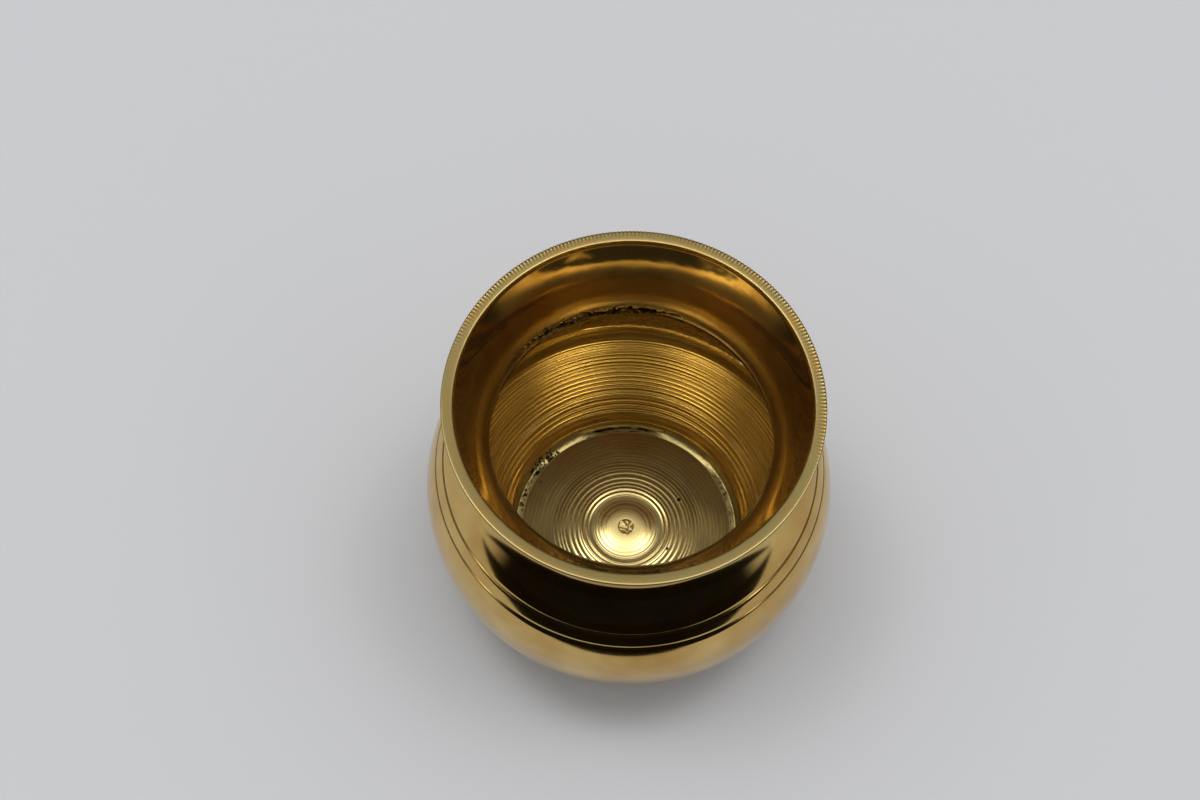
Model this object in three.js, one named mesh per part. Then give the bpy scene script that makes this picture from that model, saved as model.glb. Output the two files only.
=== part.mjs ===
// Lota: a small brass water pot, brazed up from four lathe-turned castings.
// Millimetres, +Z up, origin at the centre of the flat base.
import * as THREE from 'three';

// Outside
const height = 60.7; // flat base to the top of the lip
const mouthRadius = 32; // outer edge of the lip
const bellyRadius = 35.7; // widest part of the belly
const bellyHeight = 25.3; // height of that widest part
const shoulderRise = 28.2; // upright half axis of the belly's upper ellipse
const shoulderTop = 41; // height where the shoulder turns in towards the neck
const footRadius = 24; // edge of the flat base
const footRound = 0.5; // easing of that edge

// Lip, neck and throat
const lipWidth = 2; // lip seen from above
const lipRound = 0.5; // radius of the lip's outer top edge
const lipCrown = 0.2; // fall of the lip's top towards its inner edge
const lipFace = 0.2; // upright outer face of the lip
const lipUndercut = 0.9; // slope under the lip, in and down
const flareLean = 0.6; // lean of the flared mouth just below the lip
const throatRadius = 24.1; // narrowest part inside
const throatHeight = 46.6; // height of the throat
const neckWall = 2.7; // wall at the throat
const boreRelief = 0.15; // how much the neck bore opens again below the throat

// Incised lines round the shoulder
const lineHeights = [34.3, 37];
const lineWidth = 0.6;
const lineDepth = 0.3;

// Brazed lap joints: a spigot stands in a socket, and a ring of filler closes its end
const brazeGap = 0.1; // room for filler round each spigot
const neckSeam = 46; // height of the seam between collar and shoulder
const neckLap = 0.8; // length of the collar's spigot
const bellySeam = 19.5; // height of the seam between shoulder and bowl
const bellyLap = 1.9; // length of the bowl's spigot
const bellyWall = 2.6; // wall at the belly seam
const ringHeight = 0.8; // height of a ring of filler
const ringBulge = 0.15; // how far a ring of filler stands proud inside

// Bowl and floor
const bowlFullness = 0.42; // how far the bowl's inside holds its width before it turns in
const bowlLean = 0.8; // slope of the bowl's inside where it meets the floor's seam
const floorHeight = 3.2; // flat base to the floor inside
const floorRadius = 20.2; // edge of the raised floor, which fits the bowl
const baseFlange = 1.6; // thickness of the base under the bowl
const filletReach = 0.9; // filler's reach over the floor's edge, and its height at the wall
const filletHollow = 0.3; // height of the filler over the seam
const ridgeRadii = [7.8, 7]; // two raised rings left by the facing tool
const ridgeWidth = 0.6;
const ridgeHeight = 0.1;
const moundRadius = 6.4; // mound at the centre of the floor
const moundHeight = 0.65;
const nubRadius = 1.4; // nub that the tool left on the mound
const nubTopRadius = 1.1;
const nubHeight = 0.6;

// Facets
const turns = 60; // round the axis
const wallSteps = 8; // along a long wall
const shortSteps = 4; // along a short wall or a round
const lineSteps = 5; // between the belly seam and the first incised line

// Sizes that follow from the above
const neckRadius = throatRadius + neckWall;
const boreRadius = throatRadius + boreRelief;
const spigotEnd = neckSeam - neckLap;
const shelfHeight = spigotEnd - ringHeight;
const flareTop = height - lipRound - lipFace - lipUndercut;
const flareRadius = mouthRadius - lipUndercut;
const lipInner = mouthRadius - lipWidth;
const bowlTop = bellySeam + bellyLap;
const socketTop = bowlTop + ringHeight;
const bowlBore = floorRadius + brazeGap;
const ledgeRadius = bowlBore + filletReach;
const lowerDrop = bellyHeight / Math.sqrt(1 - (footRadius / bellyRadius) ** 2);

// Radius at height z on a smooth curve between two points, each with its own lean
function bend(z, low, high) {
  const span = high.z - low.z;
  const s = (z - low.z) / span;
  const towardsHigh = s * s * (3 - 2 * s);
  const leanLow = s * (1 - s) * (1 - s) * span * low.lean;
  const leanHigh = s * s * (s - 1) * span * high.lean;
  return low.r + (high.r - low.r) * towardsHigh + leanLow + leanHigh;
}

// Radius at height z on an ellipse round the belly's widest part
function ellipse(z, halfHeight) {
  return bellyRadius * Math.sqrt(1 - ((z - bellyHeight) / halfHeight) ** 2);
}

const shoulderRadius = ellipse(shoulderTop, shoulderRise);
const shoulderLean = (((bellyRadius / shoulderRise) ** 2) * (bellyHeight - shoulderTop)) / shoulderRadius;
const shoulderPoint = { z: shoulderTop, r: shoulderRadius, lean: shoulderLean };
const neckPoint = { z: throatHeight, r: neckRadius, lean: 0 };
const flarePoint = { z: flareTop, r: flareRadius, lean: flareLean };

// Radius of the pot's outside at height z: two half ellipses, the neck and the flared mouth
function outside(z) {
  if (z <= bellyHeight) return ellipse(z, lowerDrop);
  if (z <= shoulderTop) return ellipse(z, shoulderRise);
  if (z <= throatHeight) return bend(z, shoulderPoint, neckPoint);
  return bend(z, neckPoint, flarePoint);
}

// Radii of a lap joint in a wall: spigot and socket each take half of what the gap leaves
function lap(inner, outer) {
  const half = (outer - inner - brazeGap) / 2;
  return { spigot: inner + half, socket: outer - half };
}

const neckJoint = lap(boreRadius, outside(neckSeam));
const bellyInner = outside(bellySeam) - bellyWall;
const bellyJoint = lap(bellyInner, outside(bellySeam));

// Radius of the shoulder's inside: its wall changes evenly from the belly seam to the neck seam
function shoulderInside(z) {
  const share = (z - socketTop) / (shelfHeight - socketTop);
  const lowWall = outside(socketTop) - bellyInner;
  const highWall = outside(shelfHeight) - boreRadius;
  return outside(z) - lowWall - (highWall - lowWall) * share;
}

// Points along a wall whose radius is a function of height
function wall(radiusAt, from, to, steps) {
  const points = [];
  for (let i = 0; i <= steps; i += 1) {
    const z = from + (to - from) * (i / steps);
    points.push([radiusAt(z), z]);
  }
  return points;
}

// Points along a Bezier curve between two ends with two handles
function sweep(from, handleA, handleB, to, steps) {
  const ends = [from, handleA, handleB, to].map(([r, z]) => new THREE.Vector2(r, z));
  return new THREE.CubicBezierCurve(...ends).getPoints(steps).map((p) => [p.x, p.y]);
}

// Points along the quarter round of the lip's outer top edge
function lipArc() {
  const arc = new THREE.EllipseCurve(
    mouthRadius - lipRound,
    height - lipRound,
    lipRound,
    lipRound,
    0,
    Math.PI / 2,
  );
  return arc.getPoints(shortSteps).map((p) => [p.x, p.y]);
}

// A section that goes round a hollow closes on its first point
function closed(section) {
  return [...section, section[0]];
}

// Turns a section about the Z axis. It runs up its outer side and down its inner side.
function turned(name, section, color, roughness) {
  const points = section.map(([r, z]) => new THREE.Vector2(r, z));
  const geometry = new THREE.LatheGeometry(points, turns);
  geometry.rotateX(Math.PI / 2);
  const material = new THREE.MeshStandardMaterial({ color, metalness: 1, roughness });
  const mesh = new THREE.Mesh(geometry, material);
  mesh.name = name;
  return mesh;
}

// Collar: flared mouth, throat and neck bore, with a spigot below
function neckCollar() {
  const lipEdge = { z: height - lipCrown, r: lipInner, lean: flareLean };
  const throat = { z: throatHeight, r: throatRadius, lean: 0 };
  const boreEnd = { z: spigotEnd, r: boreRadius, lean: 0 };
  const flareInside = (z) => bend(z, throat, lipEdge);
  const boreInside = (z) => bend(z, boreEnd, throat);
  const section = [
    [neckJoint.spigot, spigotEnd],
    [neckJoint.spigot, neckSeam],
    [outside(neckSeam), neckSeam],
    ...wall(outside, throatHeight, flareTop, wallSteps),
    [mouthRadius, height - lipRound - lipFace],
    ...lipArc(),
    ...wall(flareInside, lipEdge.z, throat.z, wallSteps),
    ...wall(boreInside, throat.z, boreEnd.z, shortSteps).slice(1),
  ];
  return turned('neck_collar', closed(section), 0xb8974a, 0.22);
}

// Shoulder: upper half of the belly, with a socket at each end and the incised lines outside
function shoulderShell() {
  const outerWall = [];
  let from = bellySeam;
  let steps = lineSteps;
  for (const z of lineHeights) {
    outerWall.push(...wall(outside, from, z - lineWidth / 2, steps));
    outerWall.push([outside(z) - lineDepth, z]);
    from = z + lineWidth / 2;
    steps = 1;
  }
  outerWall.push(...wall(outside, from, neckSeam, wallSteps));
  const section = [
    ...outerWall,
    [neckJoint.socket, neckSeam],
    [neckJoint.socket, shelfHeight],
    ...wall(shoulderInside, shelfHeight, socketTop, wallSteps),
    [bellyJoint.socket, socketTop],
    [bellyJoint.socket, bellySeam],
  ];
  return turned('shoulder_shell', closed(section), 0xb08c3e, 0.2);
}

// Bowl: lower half of the belly, open below for the floor, with a spigot above
function lowerBowl() {
  const rebateTop = floorHeight + filletReach;
  const top = [bellyInner, bowlTop];
  const bottom = [ledgeRadius, rebateTop];
  const handleA = [bellyInner, bowlTop - (bowlTop - rebateTop) * bowlFullness];
  const spread = (bellyInner - ledgeRadius) * bowlFullness;
  const handleB = [ledgeRadius + spread, rebateTop + spread * bowlLean];
  const section = [
    [bowlBore, baseFlange],
    ...wall(outside, baseFlange, bellySeam, wallSteps),
    [bellyJoint.spigot, bellySeam],
    [bellyJoint.spigot, bowlTop],
    ...sweep(top, handleA, handleB, bottom, wallSteps),
    [ledgeRadius, floorHeight],
    [bowlBore, floorHeight],
  ];
  return turned('lower_bowl', closed(section), 0xa9873f, 0.32);
}

// Base: flat foot, flange under the bowl, and the floor with its rings, mound and nub
function baseDisc() {
  const ridges = ridgeRadii.flatMap((r) => [
    [r + ridgeWidth / 2, floorHeight],
    [r, floorHeight + ridgeHeight],
    [r - ridgeWidth / 2, floorHeight],
  ]);
  const moundTop = floorHeight + moundHeight;
  const middle = (moundRadius + nubRadius) / 2;
  const moundFoot = [moundRadius, floorHeight];
  const moundEdge = [nubRadius, moundTop];
  const section = [
    [0, 0],
    [footRadius - footRound, 0],
    [outside(footRound), footRound],
    [outside(baseFlange), baseFlange],
    [floorRadius, baseFlange],
    [floorRadius, floorHeight],
    ...ridges,
    ...sweep(moundFoot, [middle, floorHeight], [middle, moundTop], moundEdge, shortSteps),
    [nubTopRadius, moundTop + nubHeight],
    [0, moundTop + nubHeight],
  ];
  return turned('base_disc', section, 0x9d8551, 0.32);
}

// A ring of filler between a spigot's end and the shelf that faces it
function fillerRing(name, z, inner, socket) {
  const outer = socket - brazeGap;
  const section = [
    [outer, z],
    [outer, z + ringHeight],
    [inner, z + ringHeight],
    [inner - ringBulge, z + ringHeight / 2],
    [inner, z],
  ];
  return turned(name, closed(section), 0x8c6c32, 0.5);
}

// The fillet of filler over the seam between floor and bowl
function baseFillet() {
  const outer = ledgeRadius - brazeGap;
  const section = [
    [outer, floorHeight],
    [outer, floorHeight + filletReach],
    [floorRadius, floorHeight + filletHollow],
    [floorRadius - filletReach, floorHeight],
  ];
  return turned('base_braze', closed(section), 0xa08c5c, 0.42);
}

const lota = new THREE.Group();
lota.add(
  neckCollar(),
  fillerRing('neck_braze', shelfHeight, boreRadius, neckJoint.socket),
  shoulderShell(),
  fillerRing('belly_braze', bowlTop, bellyInner, bellyJoint.socket),
  lowerBowl(),
  baseFillet(),
  baseDisc(),
);

export default lota;
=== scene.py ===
"""Brass lota: the looks of a small water pot, brazed up from four turned castings."""

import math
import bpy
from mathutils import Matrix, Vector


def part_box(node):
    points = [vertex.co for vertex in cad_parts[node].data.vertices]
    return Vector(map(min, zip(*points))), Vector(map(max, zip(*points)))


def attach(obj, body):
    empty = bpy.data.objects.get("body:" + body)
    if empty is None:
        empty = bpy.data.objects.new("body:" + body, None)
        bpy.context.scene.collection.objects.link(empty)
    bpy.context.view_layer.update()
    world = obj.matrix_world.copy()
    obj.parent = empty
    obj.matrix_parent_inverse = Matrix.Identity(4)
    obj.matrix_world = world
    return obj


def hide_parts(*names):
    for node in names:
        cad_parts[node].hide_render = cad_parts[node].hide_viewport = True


bl_info = {
    "name": "Brass lota",
    "version": (1, 0, 0),
    "blender": (4, 5, 0),
    "location": "View3D > Sidebar > Lota",
    "description": "Builds the turned castings, brazed seams and finishes of a small brass water pot",
    "category": "Object",
}

import bmesh
import bpy
from bpy.props import FloatProperty, FloatVectorProperty, IntProperty, PointerProperty
from mathutils import Matrix, Vector, noise

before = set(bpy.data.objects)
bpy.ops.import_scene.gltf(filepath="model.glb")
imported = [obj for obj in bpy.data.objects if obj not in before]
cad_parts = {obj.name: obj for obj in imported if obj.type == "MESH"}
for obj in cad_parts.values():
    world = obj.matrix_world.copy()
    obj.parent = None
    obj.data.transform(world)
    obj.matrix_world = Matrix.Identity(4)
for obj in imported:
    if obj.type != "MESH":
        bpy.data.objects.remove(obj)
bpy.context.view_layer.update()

MM = 0.001
WELD = 0.001 * MM  # points closer than this are one point
WEDGES = 16  # a section is spun through one wedge, which is then copied round
CREASE = 60  # edges sharper than this, in degrees, stay crisp

collar_low, collar_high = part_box("neck_collar")
neck_ring_low, neck_ring_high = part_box("neck_braze")
shoulder_low, shoulder_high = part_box("shoulder_shell")
belly_ring_low, belly_ring_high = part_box("belly_braze")
bowl_low, bowl_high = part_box("lower_bowl")
fillet_low, fillet_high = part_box("base_braze")
base_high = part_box("base_disc")[1]


def linear(hex_colour):
    """Turns an sRGB hex colour into linear red, green and blue."""
    channels = [int(hex_colour[i : i + 2], 16) / 255 for i in (1, 3, 5)]
    return [c / 12.92 if c <= 0.04045 else ((c + 0.055) / 1.055) ** 2.4 for c in channels]


def opaque(values):
    """A colour that lets nothing through."""
    return (*values, 1)


def length(name, description, default):
    """A size that the user can change, in metres."""
    return FloatProperty(name=name, description=description, default=default, unit="LENGTH", precision=5)


def slope(name, description, default):
    """A slope that the user can change."""
    return FloatProperty(name=name, description=description, default=default)


def share(name, description, default):
    """A number from 0 to 1 that the user can change."""
    return FloatProperty(name=name, description=description, default=default, min=0, max=1, subtype="FACTOR")


def colour(name, description, default):
    """A colour that the user can change."""
    return FloatVectorProperty(
        name=name, description=description, default=linear(default), size=3, min=0, max=1, subtype="COLOR"
    )


class LotaSizes(bpy.types.PropertyGroup):
    """Sizes of the castings and their seams, from the frame where it gives them."""

    height: length("Height", "Flat base to the top of the lip", collar_high.z)
    mouth_radius: length("Mouth radius", "Outer edge of the lip", collar_high.x)
    belly_radius: length("Belly radius", "Widest part of the belly", shoulder_high.x)
    belly_height: length("Belly height", "Height of the widest part", 25.3 * MM)
    shoulder_rise: length("Shoulder rise", "Upright half axis of the belly's upper ellipse", 28.2 * MM)
    shoulder_top: length("Shoulder top", "Height where the shoulder turns in towards the neck", 41 * MM)
    foot_radius: length("Foot radius", "Edge of the flat base", 24 * MM)
    foot_round: length("Foot round", "Easing of the base's edge", 0.5 * MM)
    lip_width: length("Lip width", "Lip seen from above", 2 * MM)
    lip_crown: length("Lip crown", "Height of the lip's rounded top", 0.5 * MM)
    lip_fall: length("Lip fall", "How much lower the lip's top is at its inner edge", 0.1 * MM)
    lip_face: length("Lip face", "Upright outer face of the lip", 0.2 * MM)
    lip_undercut: length("Lip undercut", "Slope under the lip, in and down", 0.9 * MM)
    flare_lean: slope("Flare lean", "Lean of the mouth just below the lip", 0.6)
    throat_radius: length("Throat radius", "Narrowest part inside", 24.1 * MM)
    throat_height: length("Throat height", "Height of the throat", 46.6 * MM)
    neck_wall: length("Neck wall", "Wall at the throat", 2.7 * MM)
    bore_relief: length("Bore relief", "How much the neck bore opens again below the throat", 0.15 * MM)
    line_low: length("Lower line", "Height of the lower incised line", 34.3 * MM)
    line_high: length("Upper line", "Height of the upper incised line", 37 * MM)
    line_width: length("Line width", "Width of an incised line", 0.6 * MM)
    line_depth: length("Line depth", "Depth of an incised line", 0.3 * MM)
    seam_gap: length("Seam gap", "Room for filler round each spigot", 0.1 * MM)
    belly_wall: length("Belly wall", "Wall at the belly seam", 2.6 * MM)
    ring_bulge: length("Ring bulge", "How far a ring of filler stands proud inside", 0.15 * MM)
    bowl_fullness: share("Bowl fullness", "How far the bowl holds its width before it turns in", 0.42)
    bowl_lean: slope("Bowl lean", "Slope of the bowl's inside where it meets the floor", 0.8)
    floor_radius: length("Floor radius", "Edge of the raised floor, which fits the bowl", 20.2 * MM)
    fillet_hollow: length("Fillet hollow", "Height of the filler over the floor's seam", 0.3 * MM)
    cone_radius: length("Cone radius", "Where the floor starts to rise towards the mound", 13.5 * MM)
    cone_height: length("Cone height", "Rise of the floor up to the mound", 0.3 * MM)
    mound_radius: length("Mound radius", "Mound at the centre of the floor", 6.4 * MM)
    mound_height: length("Mound height", "Height of the mound over the floor", 0.65 * MM)
    nub_radius: length("Nub radius", "Nub that the tool left on the mound", 1.4 * MM)
    nub_height: length("Nub height", "Height of the nub over the mound", 0.6 * MM)

    def belly_ellipse(self, z, half_height):
        """Radius of an ellipse round the widest part of the belly."""
        return self.belly_radius * math.sqrt(1 - ((z - self.belly_height) / half_height) ** 2)

    def outside(self, z):
        """Radius of the pot's outside: two half ellipses, the neck and the flared mouth."""
        if z <= self.belly_height:
            drop = self.belly_height / math.sqrt(1 - (self.foot_radius / self.belly_radius) ** 2)
            return self.belly_ellipse(z, drop)
        if z <= self.shoulder_top:
            return self.belly_ellipse(z, self.shoulder_rise)
        neck = (self.throat_height, self.throat_radius + self.neck_wall, 0)
        if z <= self.throat_height:
            radius = self.belly_ellipse(self.shoulder_top, self.shoulder_rise)
            fall = (self.belly_radius / self.shoulder_rise) ** 2
            lean = fall * (self.belly_height - self.shoulder_top) / radius
            return bend(z, (self.shoulder_top, radius, lean), neck)
        return bend(z, neck, (self.flare_top, self.mouth_radius - self.lip_undercut, self.flare_lean))

    @property
    def lip_foot(self):
        return self.height - self.lip_crown - self.lip_face

    @property
    def flare_top(self):
        return self.lip_foot - self.lip_undercut

    @property
    def bore_radius(self):
        return self.throat_radius + self.bore_relief

    @property
    def belly_inner(self):
        return self.outside(shoulder_low.z) - self.belly_wall

    def lap(self, inner, outer):
        """Radii of a lap joint's spigot and socket."""
        half = (outer - inner - self.seam_gap) / 2
        return inner + half, outer - half

    def shoulder_inside(self, z):
        """Radius of the shoulder's inside, whose wall changes evenly from seam to seam."""
        low, high = belly_ring_high.z, neck_ring_low.z
        low_wall = self.outside(low) - self.belly_inner
        high_wall = self.outside(high) - self.bore_radius
        return self.outside(z) - low_wall - (high_wall - low_wall) * (z - low) / (high - low)


class LotaMarks(bpy.types.PropertyGroup):
    """Marks that the tools and the brazing left."""

    notch_count: IntProperty(
        name="Lip notches", description="Milled notches round the lip", default=304, min=16
    )
    notch_depth: length("Notch depth", "Depth of a milled notch", 0.055 * MM)
    notch_reach: length("Notch reach", "How far the notches reach in from the lip's edge", 0.9 * MM)
    groove_pitch: length("Groove pitch", "Feed of the tool that bored the bowl", 0.7 * MM)
    groove_depth: length("Groove depth", "Depth of a boring groove", 0.06 * MM)
    groove_top: length("Groove top", "Height where the boring grooves start", 17.4 * MM)
    facing_pitch: length("Facing pitch", "Feed of the tool that faced the floor", 0.7 * MM)
    facing_depth: length("Facing depth", "Depth of a facing groove", 0.028 * MM)
    facing_edge: length("Facing edge", "Radius at which the facing grooves grow deep", 13 * MM)
    ridge_outer: length("Outer ridge", "Radius of the outer raised ring on the floor", 7.8 * MM)
    ridge_inner: length("Inner ridge", "Radius of the inner raised ring on the floor", 7 * MM)
    ridge_width: length("Ridge width", "Width of a raised ring", 0.6 * MM)
    ridge_height: length("Ridge height", "Height of a raised ring", 0.08 * MM)
    void_depth: length("Void depth", "Depth of the voids in the neck seam", 0.35 * MM)
    crust_height: length("Crust height", "Height of the grains on the filler", 0.09 * MM)


class LotaFinish(bpy.types.PropertyGroup):
    """Colours and gloss of the brass."""

    brass: colour("Brass", "Clean brass", "#DDBE78")
    # Fresh brass also paints the highlight brighter into the middle of the floor
    fresh_and_highlight: colour("Fresh brass", "Brass that the tool has just cut", "#F6DC95")
    scoured: colour("Scoured brass", "Brass dulled by scouring and water", "#AA9761")
    worn: colour("Worn brass", "Brass browned by handling", "#B98F48")
    # Stain also paints shade, brown, into the bowl's corner over the floor
    stain_and_shade: colour("Stain", "Brown film in the grooves", "#7A5A2C")
    # Oxide also paints shade black round the nub's foot and on the neck seam's sound rest
    oxide_and_shade: colour("Oxide", "Black skin in voids and pits", "#1B140C")
    filler: colour("Filler", "Brazing alloy in the seams", "#B89456")
    polish: share("Polish", "Roughness of the polished brass", 0.1)
    satin: share("Satin", "Roughness of the turned brass", 0.15)
    floor: colour("Floor", "Colour of the table", "#CFD0D3")


def bend(z, low, high):
    """Radius at height z on a smooth curve between two points (height, radius, lean)."""
    span = high[0] - low[0]
    s = (z - low[0]) / span
    rise = (high[1] - low[1]) * s * s * (3 - 2 * s)
    return low[1] + rise + span * (low[2] * s * (1 - s) ** 2 + high[2] * s * s * (s - 1))


def ease(value):
    """Rises smoothly from 0 to 1 and stays there."""
    value = min(max(value, 0), 1)
    return value * value * (3 - 2 * value)


def hump(distance, width):
    """1 in the middle of a rounded line and 0 from half its width on."""
    near = min(abs(distance) / (width / 2), 1)
    return (1 + math.cos(math.pi * near)) / 2


def bearing(point):
    """Angle of a point round the pot's axis, in degrees."""
    return math.degrees(math.atan2(point.y, point.x))


def around(point, middle, spread, hold):
    """1 near an angle round the axis, and 0 from hold times spread away from it."""
    return ease(hold - abs(bearing(point) - middle) / spread)


def evenly(start, end, steps):
    """Values from start to end in even steps."""
    return [start + (end - start) * i / steps for i in range(steps + 1)]


def wall(radius_at, start, end, steps):
    """Points along a wall whose radius is a function of height."""
    return [(radius_at(z), z) for z in evenly(start, end, steps)]


def sweep(start, handle_a, handle_b, end, steps):
    """Points along a Bezier curve between two ends with two handles."""
    points = []
    for i in range(steps + 1):
        t = i / steps
        weights = ((1 - t) ** 3, 3 * t * (1 - t) ** 2, 3 * t * t * (1 - t), t**3)
        ends = (start, handle_a, handle_b, end)
        points.append(tuple(sum(w * p[k] for w, p in zip(weights, ends)) for k in (0, 1)))
    return points


def tooled(path, pitch, depth_at, seed):
    """Cuts uneven tool grooves into a path, one for each feed, and keeps how deep each point lies.

    depth_at gives the depth at a share of the way along the path.
    """
    points = 6  # across a groove
    width_swing, width_change, least_width = 1.3, 0.71, 0.4
    depth_swing, depth_change = 0.7, 0.53
    corners = [Vector(p) for p in path]
    travel = [0]
    for a, b in zip(corners, corners[1:]):
        travel.append(travel[-1] + (b - a).length)
    section, start, feed, leg = [], 0, 0, 0
    while start < travel[-1] - pitch / 2:
        wide = max(1 + width_swing * noise.noise((feed * width_change, seed, 0)), least_width)
        width = min(pitch * wide, travel[-1] - start)
        deep = 1 + depth_swing * noise.noise((feed * depth_change, seed, 9))
        cut = depth_at(start / travel[-1]) * wide * deep
        for i in range(points):
            along = start + width * i / points
            while travel[leg + 1] < along:
                leg += 1
            run = corners[leg + 1] - corners[leg]
            spot = corners[leg] + run * ((along - travel[leg]) / run.length)
            hollow = 1 - (2 * i / points - 1) ** 2
            spot += Vector((-run.y, run.x)).normalized() * cut * hollow
            section.append((spot.x, spot.y, hollow))
        start += width
        feed += 1
    return section + [tuple(path[-1])]


def turned(section, turns, closed=True):
    """Spins a section of (radius, height) points about the pot's axis."""
    bm = bmesh.new()
    hollow = bm.verts.layers.float.new("hollow")
    bm.verts.layers.float.new("void_and_shade")
    points = []
    for radius, height, *depth in section:
        points.append(bm.verts.new((radius, 0, height)))
        points[-1][hollow] = depth[0] if depth else 0
    ends = points[1:] + points[:1] if closed else points[1:]
    geom = points + [bm.edges.new(pair) for pair in zip(points, ends)]
    wedge, steps = math.tau / WEDGES, turns // WEDGES
    bmesh.ops.spin(bm, geom=geom, cent=(0, 0, 0), axis=(0, 0, 1), angle=wedge, steps=steps)
    part = WEDGES
    while part > 1:
        copied = bmesh.ops.duplicate(bm, geom=[*bm.verts, *bm.edges, *bm.faces])["geom"]
        moved = [item for item in copied if isinstance(item, bmesh.types.BMVert)]
        bmesh.ops.rotate(bm, verts=moved, cent=(0, 0, 0), matrix=Matrix.Rotation(math.tau / part, 3, "Z"))
        part //= 2
    bmesh.ops.remove_doubles(bm, verts=bm.verts, dist=WELD)
    bmesh.ops.recalc_face_normals(bm, faces=bm.faces)
    return bm


def inward(face):
    """Whether a face looks towards the pot's axis."""
    centre = face.calc_center_median()
    return face.normal.x * centre.x + face.normal.y * centre.y < 0


def placed(bm, name, node, makers, crease=CREASE):
    """Makes a finished piece that stands for a CAD node."""
    mesh = bpy.data.meshes.new(name)
    bm.to_mesh(mesh)
    bm.free()
    mesh.shade_smooth()
    mesh.set_sharp_from_angle(angle=math.radians(crease))
    for maker in makers:
        mesh.materials.append(finish_of(maker))
    piece = bpy.data.objects.new(name, mesh)
    bpy.context.scene.collection.objects.link(piece)
    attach(piece, "root")
    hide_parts(node)


def openness(point):
    """How open the neck seam is at a point: 1 where it gapes open and 0 where the filler is sound."""
    gape = around(point, middle=108, spread=30, hold=1.6)
    # The open line runs just over the ring of filler and climbs up the bore at its two ends
    rise, half_width, left_climb, right_climb = 0.5 * MM, 0.9 * MM, 2.4 * MM, 1.2 * MM
    angle = bearing(point)
    climb = left_climb * ease((angle - 112) / 40) + right_climb * ease((92 - angle) / 30)
    level = abs(point.z - neck_ring_high.z - rise - climb) / half_width
    coarse, fine = 1.6 * MM, 0.45 * MM
    ragged = 0.8 * noise.noise(point / coarse) + 1.1 * noise.noise(point / fine)
    return ease((gape * (1.1 + 1.2 * ragged) - level) * 2)


def add(tree, kind, sockets, **settings):
    """Adds a node with its settings, gives each socket a value or a link, and returns its outputs."""
    made = tree.nodes.new("ShaderNode" + kind)
    for name, value in settings.items():
        setattr(made, name, value)
    for name, value in sockets.items():
        if isinstance(value, bpy.types.NodeSocket):
            tree.links.new(value, made.inputs[name])
        else:
            made.inputs[name].default_value = value
    return made.outputs


def mixed(tree, amount, first, second):
    """A colour that goes from a first to a second one by an amount."""
    sockets = {"Factor": amount, "A": first, "B": second}
    return add(tree, "Mix", sockets, data_type="RGBA")["Result"]


def ranged(tree, value, near, far, low=0, high=1, **settings):
    """A number that goes from low to high as a value goes from near to far."""
    sockets = {"Value": value, "From Min": near, "From Max": far, "To Min": low, "To Max": high}
    return add(tree, "MapRange", sockets, **settings)[0]


def maths(tree, operation, *values):
    """The result of one operation on numbers or links."""
    return add(tree, "Math", dict(enumerate(values)), operation=operation)[0]


def blank(name):
    """A material without nodes, and its tree."""
    material = bpy.data.materials.new(name)
    material.use_nodes = True
    material.node_tree.nodes.clear()
    return material, material.node_tree


def axis_distance(tree, spot):
    """Distance of a point from the pot's axis."""
    flat = add(tree, "VectorMath", {0: spot, 1: (1, 1, 0)}, operation="MULTIPLY")[0]
    return add(tree, "VectorMath", {0: flat}, operation="LENGTH")["Value"]


def hoops(tree, spacing, reach):
    """Streaks round the pot, as a cloth or a tool leaves them, spacing apart and reach long."""
    spot = add(tree, "TexCoord", {})["Object"]
    across = maths(tree, "MULTIPLY", axis_distance(tree, spot), 1 / spacing)
    scale = (1 / reach, 1 / reach, 1 / spacing)
    stretched = add(tree, "VectorMath", {0: spot, 1: scale}, operation="MULTIPLY")[0]
    sockets = {"Vector": stretched, "W": across, "Scale": 1, "Detail": 2}
    return add(tree, "TexNoise", sockets, noise_dimensions="4D")["Fac"]


def grains(tree, size, detail):
    """Soft grains of one size all over a piece."""
    spot = add(tree, "TexCoord", {})["Object"]
    return add(tree, "TexNoise", {"Vector": spot, "Scale": 1 / size, "Detail": detail})["Fac"]


def mottled(tree, first, second, pattern, near, far):
    """A colour that goes over to a second one as a pattern runs from near to far."""
    return mixed(tree, ranged(tree, pattern, near, far), opaque(first), opaque(second))


def blackened(tree, finish, tint, rough, dulling=None, pores=None):
    """A colour and a roughness, black with oxide in voids and pores and with painted shade, which dulls them.
    """
    black = add(tree, "Attribute", {}, attribute_name="void_and_shade")["Fac"]
    if pores:
        black = maths(tree, "MAXIMUM", black, pores)
    if dulling:
        rough = maths(tree, "MULTIPLY_ADD", black, dulling, rough)
    return mixed(tree, black, tint, opaque(finish.oxide_and_shade)), rough


def finished(tree, surface, relief):
    """Ends a brass with its surface, as a shader's sockets, and its relief, as a bump's."""
    surface["Normal"] = add(tree, "Bump", relief)[0]
    add(tree, "OutputMaterial", {"Surface": add(tree, "BsdfPrincipled", surface)[0]})


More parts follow.
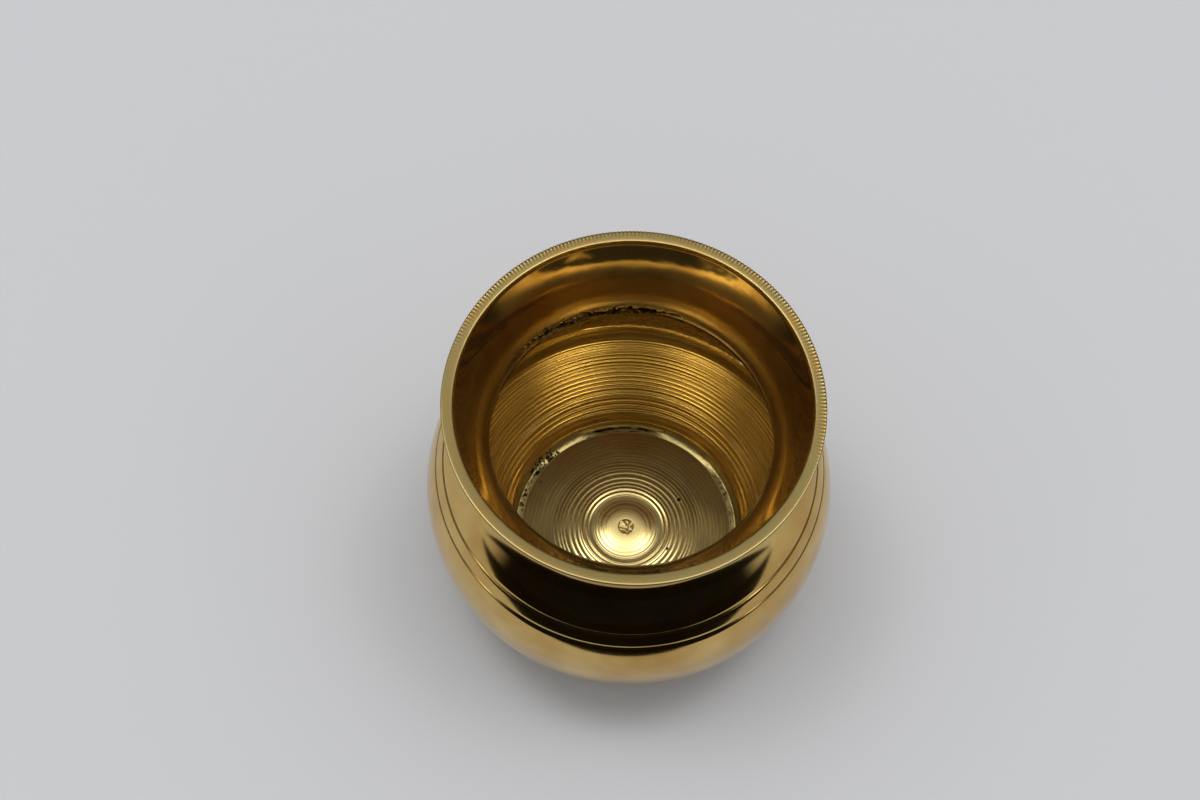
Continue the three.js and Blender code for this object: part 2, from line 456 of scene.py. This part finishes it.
def lathe_cut(tree, finish, ground, film, gloss, metallic, matt=None):
    """Ends a brass that a lathe tool has cut, with gloss from its brightest to its dullest patches.

    A brown film stays in the valleys and, as painted shade, in corners that a piece marks as
    hollow; black pores show, and matt is added to the roughness.
    """
    patches = grains(tree, 8 * MM, 5)
    valley_and_shade = add(tree, "Attribute", {}, attribute_name="hollow")["Fac"]
    held = maths(tree, "MULTIPLY", ranged(tree, valley_and_shade, 0.8, 1), patches)
    stained_and_shaded = ranged(tree, held, 0.3, 0.7, 0, film)
    tint = mixed(tree, stained_and_shaded, ground, opaque(finish.stain_and_shade))
    pores = ranged(tree, grains(tree, 0.9 * MM, 1), 0.79, 0.82)
    rough = ranged(tree, patches, 0.3, 0.7, *gloss)
    if matt:
        rough = maths(tree, "ADD", matt, rough)
    skin, rough = blackened(tree, finish, tint, rough, 0.5, pores)
    relief = {"Height": hoops(tree, 0.3 * MM, 14 * MM), "Strength": 0.1, "Distance": 0.03 * MM}
    finished(tree, {"Base Color": skin, "Metallic": metallic, "Roughness": rough}, relief)


def hoop_polished_brass(tree, finish):
    # Cast brass, turned and then polished as it spins. It gives a yellow mirror with fine hoop
    # scratches, about 0.1 mm apart, drawn 0.3 mm apart so that they show, and soft brown handling.
    scratches = hoops(tree, 0.3 * MM, 9 * MM)
    tint = mottled(tree, finish.brass, finish.worn, grains(tree, 11 * MM, 4), 0.3, 0.75)
    gloss = ranged(tree, scratches, 0, 1, finish.polish * 0.7, finish.polish * 1.4)
    skin, rough = blackened(tree, finish, tint, gloss, 0.6)
    relief = {"Height": scratches, "Strength": 0.03, "Distance": 0.02 * MM}
    finished(tree, {"Base Color": skin, "Metallic": 1, "Roughness": rough}, relief)


def hazed_brass(tree, finish):
    # Cast brass, polished at the mouth and less so further in. It gives a soft mirror under a thin
    # pale haze, browner and more satin further into the neck, with low waves of about 2.5 mm and
    # hoop scratches, about 0.1 mm apart, drawn 0.3 mm apart so that they show.
    scratches = hoops(tree, 0.3 * MM, 9 * MM)
    tint = mottled(tree, finish.brass, finish.worn, grains(tree, 11 * MM, 4), 0.4, 0.75)
    neck, mouth = 53.2 * MM, 56.2 * MM
    height = add(tree, "SeparateXYZ", {"Vector": add(tree, "TexCoord", {})["Object"]})["Z"]
    inner = ranged(tree, height, neck, mouth, 1, 0)
    film = maths(tree, "MULTIPLY", inner, 0.45)
    browner_inward = mixed(tree, film, tint, opaque(finish.stain_and_shade))
    gloss = ranged(tree, scratches, 0, 1, finish.polish * 0.3, finish.polish * 0.5)
    satin = maths(tree, "MULTIPLY_ADD", inner, 0.16, gloss)
    skin, rough = blackened(tree, finish, browner_inward, satin, 0.5)
    sockets = {"Height": grains(tree, 2.5 * MM, 1), "Strength": 0.4, "Distance": 0.02 * MM}
    waves = add(tree, "Bump", sockets)[0]
    relief = {"Height": scratches, "Strength": 0.03, "Distance": 0.02 * MM, "Normal": waves}
    finished(tree, {"Base Color": skin, "Metallic": 0.97, "Roughness": rough}, relief)


def milled_brass(tree, finish):
    # Cast brass, milled and since scoured. It gives a pale satin band with a grain of about
    # 0.35 mm, browned in patches by handling, whose notches hold a brown film.
    grain = grains(tree, 0.35 * MM, 3)
    gloss = ranged(tree, grain, 0, 1, 0.28, 0.35)
    tint = mottled(tree, finish.scoured, finish.worn, grains(tree, 6 * MM, 3), 0.42, 0.95)
    cut = add(tree, "Attribute", {}, attribute_name="hollow")["Fac"]
    skin = mixed(tree, cut, tint, opaque(finish.stain_and_shade))
    relief = {"Height": grain, "Strength": 0.15, "Distance": 0.05 * MM}
    finished(tree, {"Base Color": skin, "Metallic": 1, "Roughness": gloss}, relief)


def bored_brass(tree, finish):
    # Cast brass left as the lathe tool cut it. It gives satin ridges with a brown film that stays
    # in the valleys, the same brown painted as shade in the corner over the floor, patches where a
    # scourer has dulled it, and black pores of about 0.4 mm.
    gloss = (finish.satin * 0.6, finish.satin * 1.1)
    lathe_cut(tree, finish, opaque(finish.fresh_and_highlight), 0.6, gloss, 0.97)


def faced_brass(tree, finish):
    # Cast brass faced on the lathe and since scoured. It gives fine rings with a brown film that
    # stays in the valleys, and a painted highlight: brass mixed brighter towards the middle, where
    # the lamps' reflections fall. It is matt in the torn middle, where the tool cut slowly, and at
    # the edge, where it was brazed in.
    radius = axis_distance(tree, add(tree, "TexCoord", {})["Object"])
    # Painted highlight: brighter brass towards the middle, where the lamps' reflections fall
    bright = ranged(tree, radius, 6 * MM, 14 * MM, 0.65, 0)
    torn = ranged(tree, radius, 2.2 * MM, 4.4 * MM, 0.24, 0)
    brazed = ranged(tree, radius, 19 * MM, 19.6 * MM, 0, 0.16)
    ground = mixed(tree, bright, opaque(finish.scoured), opaque(finish.fresh_and_highlight))
    matt = maths(tree, "ADD", torn, brazed)
    gloss = (finish.satin * 1.05, finish.satin * 1.5)
    lathe_cut(tree, finish, ground, 0.8, gloss, 0.93, matt)


def sand_cast_brass(tree, finish):
    # Brass left as it came from the sand. It gives a dull brown skin with grains of about 0.7 mm
    # and short streaks, black in the neck seam's voids and painted black as shade on its sound rest.
    sand = maths(tree, "ADD", grains(tree, 0.7 * MM, 4), hoops(tree, 0.5 * MM, 5 * MM))
    tint = mottled(tree, finish.stain_and_shade, finish.brass, sand, 0.6, 1.15)
    skin, rough = blackened(tree, finish, tint, 0.42)
    surface = {"Base Color": skin, "Metallic": 0.88, "Roughness": rough}
    surface |= {"Specular IOR Level": 0.1, "Specular Tint": opaque(finish.stain_and_shade)}
    finished(tree, surface, {"Height": sand, "Strength": 0.5, "Distance": 0.08 * MM})


def crusted_filler(tree, finish):
    # Brazing alloy, melted into the seams and brushed. It gives bright grains of about 0.45 mm in
    # a dark crust, with black voids, and painted shade blackening it towards the ends of its arc.
    grain = grains(tree, 0.45 * MM, 3)
    tint = mottled(tree, finish.stain_and_shade, finish.filler, grain, 0.38, 0.62)
    skin, rough = blackened(tree, finish, tint, 0.36, 0.4)
    surface = {"Base Color": skin, "Metallic": 1, "Roughness": rough}
    surface |= {"Specular Tint": opaque(finish.stain_and_shade)}
    finished(tree, surface, {"Height": grain, "Strength": 0.6, "Distance": 0.08 * MM})


def finish_of(maker):
    """The finish that a function makes, made on first use."""
    made = bpy.data.materials.get(maker.__name__)
    if not made:
        made, tree = blank(maker.__name__)
        maker(tree, bpy.context.scene.lota_finish)
    return made


class LOTA_OT_collar(bpy.types.Operator):
    """Turns the flared mouth, throat and neck bore, and mills the lip"""

    bl_idname = "lota.collar"
    bl_label = "Neck collar"

    lip_steps = 16
    lip_square = (0.35, 0.25)  # powers that square off the lip's half ellipse, across and up
    crisp_angle = math.radians(75)  # the notches are crisp here and worn nearly away opposite
    least_kept = 0.06  # share of a notch that is left where it is worn most
    notch_film = 0.35  # share of brown film in a crisp notch
    void_reach = 4 * MM  # the seam's voids end below this height over the throat

    def lip(self, sizes, base):
        """Points over the lip's rounded top, from its outer edge to its inner one."""
        middle = sizes.mouth_radius - sizes.lip_width / 2
        points = []
        for i in range(self.lip_steps + 1):
            t = math.pi * i / self.lip_steps
            across = math.copysign(abs(math.cos(t)) ** self.lip_square[0], math.cos(t))
            crown = sizes.lip_crown - sizes.lip_fall * (1 - across) / 2
            up = crown * math.sin(t) ** self.lip_square[1]
            points.append((middle + sizes.lip_width / 2 * across, base + up))
        return points

    def execute(self, context):
        sizes, marks = context.scene.lota_sizes, context.scene.lota_marks
        seam = shoulder_high.z
        spigot = sizes.lap(sizes.bore_radius, sizes.outside(seam))[0]
        lip_base = sizes.height - sizes.lip_crown
        edge = (lip_base, sizes.mouth_radius - sizes.lip_width, sizes.flare_lean)
        throat = (sizes.throat_height, sizes.throat_radius, 0)
        opening = -2 * sizes.bore_relief / (sizes.throat_height - collar_low.z)
        bore_end = (collar_low.z, sizes.bore_radius, opening)
        section = [
            (spigot, collar_low.z),
            (spigot, seam),
            (sizes.outside(seam), seam),
            *wall(sizes.outside, sizes.throat_height, sizes.flare_top, 20),
            (sizes.mouth_radius, sizes.lip_foot),
            *self.lip(sizes, lip_base),
            *wall(lambda z: bend(z, throat, edge), edge[0], throat[0], 28)[1:],
            *wall(lambda z: bend(z, bore_end, throat), throat[0], bore_end[0], 8)[1:],
        ]
        turns = 3 * marks.notch_count
        bm = turned(section, turns)
        void_and_shade, hollow = bm.verts.layers.float["void_and_shade"], bm.verts.layers.float["hollow"]
        for vert in bm.verts:
            radius = vert.co.xy.length
            angle = math.atan2(vert.co.y, vert.co.x)
            if vert.co.z >= lip_base - WELD and round(angle / math.tau * turns) % 3 == 0:
                reach = ease((radius - sizes.mouth_radius + marks.notch_reach) / (0.5 * marks.notch_reach))
                crisp = ease(0.3 + 1.2 * math.cos(angle - self.crisp_angle))
                kept = self.least_kept + (1 - self.least_kept) * crisp
                vert.co *= 1 - marks.notch_depth * reach * kept / radius
                vert[hollow] = self.notch_film * reach * kept
            elif vert.co.z < sizes.throat_height + self.void_reach and radius < spigot - WELD:
                vert[void_and_shade] = openness(vert.co)
                vert.co.xy *= 1 + marks.void_depth * vert[void_and_shade] / radius
        for face in bm.faces:
            on_lip = face.calc_center_median().z > lip_base - sizes.lip_face
            face.material_index = 1 if on_lip else 2 * inward(face)
        makers = (hoop_polished_brass, milled_brass, hazed_brass)
        placed(bm, "collar", "neck_collar", makers, crease=38)
        return {"FINISHED"}


class LOTA_OT_shoulder(bpy.types.Operator):
    """Turns the upper half of the belly and cuts its two lines"""

    bl_idname = "lota.shoulder"
    bl_label = "Shoulder shell"

    def execute(self, context):
        sizes = context.scene.lota_sizes
        low, high = shoulder_low.z, shoulder_high.z
        neck_socket = sizes.lap(sizes.bore_radius, sizes.outside(high))[1]
        belly_socket = sizes.lap(sizes.belly_inner, sizes.outside(low))[1]

        def incised(z):
            lines = (sizes.line_low, sizes.line_high)
            depth = sum(sizes.line_depth * hump(z - line, sizes.line_width) for line in lines)
            return sizes.outside(z) - depth

        half = sizes.line_width / 2
        section = [
            *wall(incised, low, sizes.line_low - half, 22),
            *wall(incised, sizes.line_low - half, sizes.line_low + half, 10)[1:],
            *wall(incised, sizes.line_low + half, sizes.line_high - half, 6)[1:],
            *wall(incised, sizes.line_high - half, sizes.line_high + half, 10)[1:],
            *wall(incised, sizes.line_high + half, high, 22)[1:],
            (neck_socket, high),
            (neck_socket, neck_ring_low.z),
            *wall(sizes.shoulder_inside, neck_ring_low.z, belly_ring_high.z, 60),
            (belly_socket, belly_ring_high.z),
            (belly_socket, low),
        ]
        bm = turned(section, 320)
        for face in bm.faces:
            face.material_index = int(inward(face))
        makers = (hoop_polished_brass, sand_cast_brass)
        placed(bm, "shoulder", "shoulder_shell", makers)
        return {"FINISHED"}


class LOTA_OT_bowl(bpy.types.Operator):
    """Turns the lower half of the belly and bores its inside"""

    bl_idname = "lota.bowl"
    bl_label = "Lower bowl"

    film_top, film_fade = 1.6 * MM, 1.2 * MM  # painted shade: brown in the corner over the floor's seam

    def execute(self, context):
        sizes, marks = context.scene.lota_sizes, context.scene.lota_marks
        seam = shoulder_low.z
        spigot = sizes.lap(sizes.belly_inner, sizes.outside(seam))[0]
        ledge = fillet_high.x + sizes.seam_gap
        foot = fillet_high.z
        drop = bowl_high.z - foot
        spread = (sizes.belly_inner - ledge) * sizes.bowl_fullness
        inside = sweep(
            (sizes.belly_inner, bowl_high.z),
            (sizes.belly_inner, bowl_high.z - drop * sizes.bowl_fullness),
            (ledge + spread, foot + spread * sizes.bowl_lean),
            (ledge, foot),
            120,
        )

        def boring(share):
            """The grooves grow shallow near the floor."""
            return marks.groove_depth * (1 - 0.85 * ease((share - 0.78) / 0.14))

        smooth = [p for p in inside if p[1] > marks.groove_top]
        bored = [p for p in inside if p[1] <= marks.groove_top]
        bore = sizes.floor_radius + sizes.seam_gap
        section = [
            (bore, bowl_low.z),
            *wall(sizes.outside, bowl_low.z, seam, 30),
            (spigot, seam),
            (spigot, bowl_high.z),
            *smooth,
            *tooled(bored, marks.groove_pitch, boring, seed=3.3),
            (ledge, fillet_low.z),
            (bore, fillet_low.z),
        ]
        bm = turned(section, 320)
        hollow = bm.verts.layers.float["hollow"]
        for vert in bm.verts:
            # Painted shade: brown raised all round the corner over the floor
            film = ease((foot + self.film_top - vert.co.z) / self.film_fade)
            vert[hollow] = max(vert[hollow], film)
        for face in bm.faces:
            face.material_index = int(inward(face))
        placed(bm, "bowl", "lower_bowl", (hoop_polished_brass, bored_brass))
        return {"FINISHED"}


class LOTA_OT_base(bpy.types.Operator):
    """Turns the flat foot and faces the floor with its rings, mound and nub"""

    bl_idname = "lota.base"
    bl_label = "Base disc"

    foot_feed, foot_depth = 1.2 * MM, 0.03 * MM  # tool grooves under the foot
    mound_share = 0.75  # share of the mound's height that stands over the cone
    # Nub: shares of its radius, with heights over the mound and then depths under its top
    nub_foot = ((0.95, 0.04 * MM), (0.9, 0.12 * MM))
    nub_rim = ((0.86, 0.1 * MM), (0.75, 0.03 * MM), (0.6, 0.02 * MM))
    nub_dish = ((0.45, 0.06 * MM), (0.3, 0.12 * MM), (0.15, 0.14 * MM), (0, 0.15 * MM))
    tear_size, tear_width, tear_height = 0.6 * MM, 0.2, 0.3 * MM  # torn edge of the nub
    dirt, dirt_top, dirt_fade = 0.6, 0.2 * MM, 0.15 * MM  # painted shade, black round the nub's foot
    specks = ((32, 11.4 * MM, 0.32 * MM), (-26, 8.6 * MM, 0.2 * MM))  # pits: angle, radius, size

    def execute(self, context):
        sizes, marks = context.scene.lota_sizes, context.scene.lota_marks
        floor = fillet_low.z
        flange = bowl_low.z
        flat = [(r, 0) for r in evenly(0, sizes.foot_radius - sizes.foot_round, 40)]

        def cone(radius):
            run = (sizes.cone_radius - radius) / (sizes.cone_radius - sizes.mound_radius)
            return floor + sizes.cone_height * min(max(run, 0), 1)

        def ridges(radius):
            rings = (marks.ridge_outer, marks.ridge_inner)
            return cone(radius) + sum(marks.ridge_height * hump(radius - r, marks.ridge_width) for r in rings)

        def facing(share):
            """The grooves are light near the wall and grow deep inside the facing edge."""
            radius = sizes.floor_radius + (outer - sizes.floor_radius) * share
            return marks.facing_depth * (0.15 + 0.85 * ease(0.5 - (radius - marks.facing_edge) / (6 * MM)))

        outer = marks.ridge_outer + marks.ridge_width / 2
        inner = marks.ridge_inner - marks.ridge_width / 2
        faced = evenly(sizes.floor_radius, outer, 80)
        ringed = evenly(outer, inner, 24)[1:]
        top = floor + sizes.cone_height + self.mound_share * sizes.mound_height
        mound = []
        for i, radius in enumerate(evenly(sizes.mound_radius, sizes.nub_radius, 40)):
            mound.append((radius, cone(radius) + (top - cone(radius)) * ease(i / 40)))
        crown = min(top + sizes.nub_height, base_high.z)
        section = [
            *tooled(flat, self.foot_feed, lambda share: self.foot_depth, seed=7.7),
            (sizes.outside(sizes.foot_round), sizes.foot_round),
            *wall(sizes.outside, sizes.foot_round, flange, 3)[1:],
            (sizes.floor_radius, flange),
            *tooled([(r, cone(r)) for r in faced], marks.facing_pitch, facing, seed=5.1),
            *[(r, ridges(r)) for r in ringed],
            *tooled(mound, 0.8 * marks.facing_pitch, lambda share: 0.4 * marks.facing_depth, seed=8.6),
            *[(sizes.nub_radius * part, top + rise) for part, rise in self.nub_foot],
            *[(sizes.nub_radius * part, crown - fall) for part, fall in self.nub_rim + self.nub_dish],
        ]
        bm = turned(section, 256, closed=False)
        void_and_shade = bm.verts.layers.float["void_and_shade"]
        for vert in bm.verts:
            if vert.co.xy.length < sizes.nub_radius and vert.co.z > top:
                torn = noise.noise(vert.co / self.tear_size)
                vert.co.xy *= 1 + self.tear_width * torn
                vert.co.z = min(vert.co.z + self.tear_height * torn, crown)
                # Painted shade, black round the nub's foot
                vert[void_and_shade] = self.dirt * ease((top + self.dirt_top - vert.co.z) / self.dirt_fade)
            for angle, radius, size in self.specks:
                turn = math.radians(angle)
                spot = Vector((radius * math.cos(turn), radius * math.sin(turn), cone(radius)))
                vert[void_and_shade] = max(vert[void_and_shade], ease(2 - (vert.co - spot).length / size))
        for face in bm.faces:
            centre = face.calc_center_median()
            outside = centre.xy.length > sizes.foot_radius - sizes.foot_round
            face.material_index = outside and centre.z < flange - WELD
        placed(bm, "base", "base_disc", (faced_brass, hoop_polished_brass))
        return {"FINISHED"}


class LOTA_OT_seams(bpy.types.Operator):
    """Lays the three rings of brazing filler, crusted and pitted"""

    bl_idname = "lota.seams"
    bl_label = "Brazed seams"

    # Rings: name, CAD node, middle and spread of the crusted arc in degrees, black painted as shade
    # on the sound rest, and the finishes of the two
    rings = (
        ("neck_seam", "neck_braze", 106, 26, 0.75, (crusted_filler, sand_cast_brass)),
        ("belly_seam", "belly_braze", 52, 45, 0, (bored_brass, bored_brass)),
    )
    bead_steps = 16
    crust_grain = 0.5 * MM
    # Arcs of the floor's seam: middle and spread in degrees, and hold, as around() takes them
    pitted_arc = (142, 12, 1.4)
    cracked_arc = (95, 18, 1.4)
    swollen_arcs = ((56, 16, 1.5), (128, 14, 1.5))
    pit_lumps, pit_grains = 0.9 * MM, 0.3 * MM
    crack_length, crack_width = 1.5 * MM, 0.1 * MM
    wall_rise = 0.5 * MM  # outside the floor's edge the filler is whole from here on

    def bead(self, sizes, low, high, inner, outer):
        """Section of a ring of filler that stands a little proud of the wall inside."""
        arc = []
        for i in range(self.bead_steps + 1):
            t = math.pi * i / self.bead_steps
            height = (low + high) / 2 + (high - low) / 2 * math.cos(t)
            arc.append((inner - 2 * sizes.ring_bulge * math.sin(t) ** 2, height))
        return [(outer, low), (outer, high), *arc]

    def execute(self, context):
        sizes, marks = context.scene.lota_sizes, context.scene.lota_marks
        places = (
            (neck_ring_low, neck_ring_high, sizes.bore_radius),
            (belly_ring_low, belly_ring_high, sizes.belly_inner),
        )
        for ring, (low, high, inner) in zip(self.rings, places):
            name, node, middle, spread, film, makers = ring
            bm = turned(self.bead(sizes, low.z, high.z, inner, high.x), 720)
            void_and_shade = bm.verts.layers.float["void_and_shade"]
            for vert in bm.verts:
                radius = vert.co.xy.length
                if radius > inner - WELD:
                    continue
                lump = noise.noise(vert.co / self.crust_grain)
                proud = around(vert.co, middle, spread, hold=1.6)
                gap = openness(vert.co) if name == "neck_seam" else 0
                # Painted shade: black on the sound rest of the neck seam, away from its crusted arc
                vert[void_and_shade] = max(gap, film * (1 - proud))
                deep = marks.void_depth * gap - marks.crust_height * lump * proud
                deep += (1 - proud) * (inner - radius)
                vert.co.xy *= 1 + deep / radius
            for face in bm.faces:
                face.material_index = abs(bearing(face.calc_center_median()) - middle) > 1.4 * spread
            placed(bm, name, node, makers)
        ledge, floor, rim = fillet_high.x, fillet_low.z, fillet_high.z
        reach = rim - floor
        hollow = sweep(
            (ledge, rim),
            (sizes.floor_radius + 0.4 * reach, floor + 1.2 * sizes.fillet_hollow),
            (sizes.floor_radius, floor + 0.5 * sizes.fillet_hollow),
            (sizes.floor_radius - 0.9 * reach, floor),
            12,
        )
        bm = turned([(ledge, floor), *hollow], 960)
        void_and_shade = bm.verts.layers.float["void_and_shade"]
        for vert in bm.verts:
            radius = vert.co.xy.length
            if vert.co.z < floor + WELD or radius > ledge - WELD:
                continue
            past_floor = radius - sizes.floor_radius
            pitted = around(vert.co, *self.pitted_arc)
            ragged = 0.5 * noise.noise(vert.co / self.pit_lumps) + noise.noise(vert.co / self.pit_grains)
            broken = ease(1 + 1.5 * noise.noise(vert.co / self.crack_length))
            cracked = around(vert.co, *self.cracked_arc) * broken
            cracked *= ease(2 - abs(past_floor) / self.crack_width)
            vert[void_and_shade] = max(ease((0.75 * pitted + ragged - 0.7) * 3), cracked)
            swell = max(around(vert.co, *arc) for arc in self.swollen_arcs)
            rise = (vert.co.z - floor) * max(swell, ease(past_floor / self.wall_rise))
            rise += 0.3 * marks.crust_height * ragged - 0.5 * marks.void_depth * vert[void_and_shade]
            vert.co.z = floor + max(rise, 0)
        placed(bm, "floor_seam", "base_braze", (faced_brass,))
        return {"FINISHED"}


class LOTA_OT_stage(bpy.types.Operator):
    """Sets the table, the soft light and the camera"""

    bl_idname = "lota.stage"
    bl_label = "Stage"

    # The camera stands as the photograph's did: a steep look down over the rim
    elevation = math.radians(66.15)
    roll = math.radians(-2.1)
    rim_height = 60.5 * MM
    distance = 446.2 * MM
    focal_pixels = 2700
    image = (1200, 800)
    rim_pixel = (633.9, 403.3)
    # Table and card, in metres from the middle of the pot
    table_edge, table_drop = 2, 0.05 * MM
    card_front, card_height, card_nose, card_slope = -0.08, 0.5 * MM, 0.06, 0.25
    # Painted shade: black of the card that only the brass's reflections see
    shade_card_colour = "#161410"
    # Lamps over the tent's opening: direction, reach and strength
    lamps = (((0, 0, 1), 0.3, 3), ((-0.28, 0.12, 0.95), 0.24, 9.5), ((0.28, 0.1, 0.95), 0.24, 8.5))
    # Even light of the room on matt surfaces, and the least light of the tent
    room_light, least_light = 0.48, 0.01

    def camera(self, scene):
        """Stands the camera so that the middle of the rim falls on its pixel."""
        forward = Vector((0, math.cos(self.elevation), -math.sin(self.elevation)))
        level = Vector((1, 0, 0))
        down = forward.cross(level)
        right = math.cos(self.roll) * level + math.sin(self.roll) * down
        down = forward.cross(right)
        across, below = ((p - s / 2) / self.focal_pixels for p, s in zip(self.rim_pixel, self.image))
        rim = Vector((0, 0, self.rim_height))
        stand = rim - self.distance * (forward + across * right + below * down)
        data = bpy.data.cameras.new("photo_camera")
        data.sensor_width = 36
        data.lens = self.focal_pixels / self.image[0] * data.sensor_width
        data.clip_start = 0.01
        camera = bpy.data.objects.new("photo_camera", data)
        turn = Matrix((right, -down, -forward)).transposed()
        camera.matrix_world = Matrix.Translation(stand) @ turn.to_4x4()
        scene.collection.objects.link(camera)
        scene.camera = camera

    def sheet(self, scene, name, low, high, height, material, slopes=()):
        """A flat sheet between two corners, whose back corners can be cut off at slopes."""
        bm = bmesh.new()
        middle = Vector(((low[0] + high[0]) / 2, (low[1] + high[1]) / 2, height))
        bmesh.ops.create_grid(bm, x_segments=1, y_segments=1, size=0.5)
        bmesh.ops.scale(bm, vec=(high[0] - low[0], high[1] - low[1], 1), verts=bm.verts)
        bmesh.ops.translate(bm, vec=middle, verts=bm.verts)
        for lean in slopes:
            spot = (math.copysign(self.card_nose, lean), high[1], height)
            geom = [*bm.verts, *bm.edges, *bm.faces]
            bmesh.ops.bisect_plane(bm, geom=geom, plane_co=spot, plane_no=(lean, 1, 0), clear_outer=True)
        mesh = bpy.data.meshes.new(name)
        bm.to_mesh(mesh)
        bm.free()
        mesh.materials.append(material)
        made = bpy.data.objects.new(name, mesh)
        scene.collection.objects.link(made)
        return made

    def faded(self, tree, amount, fades):
        """Multiplies an amount by smooth steps, each as ranged() takes it."""
        for fade in fades:
            part = ranged(tree, *fade, interpolation_type="SMOOTHSTEP")
            amount = maths(tree, "MULTIPLY", part, amount)
        return amount

    def tent(self, finish):
        """A light tent round the pot, open above and in front, before a pale backdrop."""
        room = bpy.data.worlds.new("light_tent")
        room.use_nodes = True
        tree = room.node_tree
        tree.nodes.clear()
        sight = add(tree, "TexCoord", {})["Generated"]
        split = add(tree, "SeparateXYZ", {"Vector": sight})
        open_front = (split["Y"], -0.55, -0.3, 0, 1)

        # The opening above is oval and lies a little towards the front. The walls are brightest at
        # its edge, more so at the sides than behind, and fade downwards, sooner at the sides.
        sockets = {0: sight, 1: (1, 0.92, 0), 2: (0.02, 0.184, 0)}
        flat = add(tree, "VectorMath", sockets, operation="MULTIPLY_ADD")[0]
        away = add(tree, "VectorMath", {0: flat}, operation="LENGTH")["Value"]
        side = maths(tree, "ABSOLUTE", split["X"])
        foot = maths(tree, "MULTIPLY_ADD", side, -0.15, 0.83)
        edge, fade = (away, 0.625, 0.665, 0, 1), (away, 0.65, foot, 1, 0.06)
        sides = (side, 0.25, 0.6, 0.9, 2.6)
        light = self.faded(tree, 1, (edge, fade, sides, open_front))
        for aim, size, strength in self.lamps:
            sockets = {"Vector": sight, "Location": Vector(aim).normalized(), "Scale": (size, size, size)}
            spot = add(tree, "Mapping", sockets, vector_type="TEXTURE")[0]
            glow = add(tree, "TexGradient", {"Vector": spot}, gradient_type="SPHERICAL")
            light = maths(tree, "MULTIPLY_ADD", glow["Fac"], strength, light)

        # Matt surfaces see an even room, so that the pot's shadow stays soft
        path = add(tree, "LightPath", {})
        even = maths(tree, "MULTIPLY_ADD", path["Is Diffuse Ray"], self.room_light, self.least_light)
        bright = maths(tree, "ADD", light, even)
        sky = add(tree, "Background", {"Color": (1, 1, 1, 1), "Strength": bright})

        # The camera sees the backdrop all round. It stands behind and beside the pot, up to the
        # tent's foot, so the brass mirrors it there.
        backdrop = add(tree, "Background", {"Color": opaque(finish.floor)})
        low_down = (split["Z"], 0.1, 0.25, 1, 0)
        mirrored = self.faded(tree, path["Is Glossy Ray"], (low_down, open_front))
        shown = maths(tree, "MAXIMUM", mirrored, path["Is Camera Ray"])
        seen = add(tree, "MixShader", {0: shown, 1: sky[0], 2: backdrop[0]})
        add(tree, "OutputWorld", {"Surface": seen[0]})
        return room

    def execute(self, context):
        scene = context.scene
        finish = scene.lota_finish
        self.camera(scene)

        # Painted table: plain, pale and matt
        table, tree = blank("pale_table")
        sockets = {"Base Color": opaque(finish.floor), "Roughness": 0.75}
        shader = add(tree, "BsdfPrincipled", sockets)
        add(tree, "OutputMaterial", {"Surface": shader[0]})
        edge = self.table_edge
        self.sheet(scene, "table", (-edge, -edge), (edge, edge), -self.table_drop, table)

        # Painted shade: a black card in front of the pot, out of the picture and seen only in reflections,
        # for the polished brass to mirror as the dark room in front
        black, tree = blank("reflected_shade_card")
        shader = add(tree, "BsdfDiffuse", {"Color": opaque(linear(self.shade_card_colour))})
        add(tree, "OutputMaterial", {"Surface": shader[0]})
        near, far = (-edge, -edge), (edge, self.card_front)
        slopes = (-self.card_slope, self.card_slope)
        card = self.sheet(scene, "card", near, far, self.card_height, black, slopes)
        card.visible_camera = card.visible_diffuse = card.visible_shadow = False

        scene.world = self.tent(finish)
        scene.view_settings.view_transform = "Standard"
        return {"FINISHED"}


class LOTA_PT_panel(bpy.types.Panel):
    """Lists the pot's pieces and finishes"""

    bl_idname = "LOTA_PT_panel"
    bl_label = "Brass lota"
    bl_space_type = "VIEW_3D"
    bl_region_type = "UI"
    bl_category = "Lota"

    def draw(self, context):
        layout = self.layout
        for operator in operators:
            layout.operator(operator.bl_idname)
        for group in (context.scene.lota_sizes, context.scene.lota_marks, context.scene.lota_finish):
            box = layout.box()
            for name in group.__annotations__:
                box.prop(group, name)


operators = (LOTA_OT_stage, LOTA_OT_collar, LOTA_OT_shoulder, LOTA_OT_bowl, LOTA_OT_base, LOTA_OT_seams)
classes = (LotaSizes, LotaMarks, LotaFinish, *operators, LOTA_PT_panel)


def register():
    for made in classes:
        bpy.utils.register_class(made)
    bpy.types.Scene.lota_sizes = PointerProperty(type=LotaSizes)
    bpy.types.Scene.lota_marks = PointerProperty(type=LotaMarks)
    bpy.types.Scene.lota_finish = PointerProperty(type=LotaFinish)


def unregister():
    del bpy.types.Scene.lota_finish
    del bpy.types.Scene.lota_marks
    del bpy.types.Scene.lota_sizes
    for made in reversed(classes):
        bpy.utils.unregister_class(made)


def main():
    register()
    bpy.ops.lota.stage()
    bpy.ops.lota.collar()
    bpy.ops.lota.shoulder()
    bpy.ops.lota.bowl()
    bpy.ops.lota.base()
    bpy.ops.lota.seams()


if __name__ == "__main__":
    main()
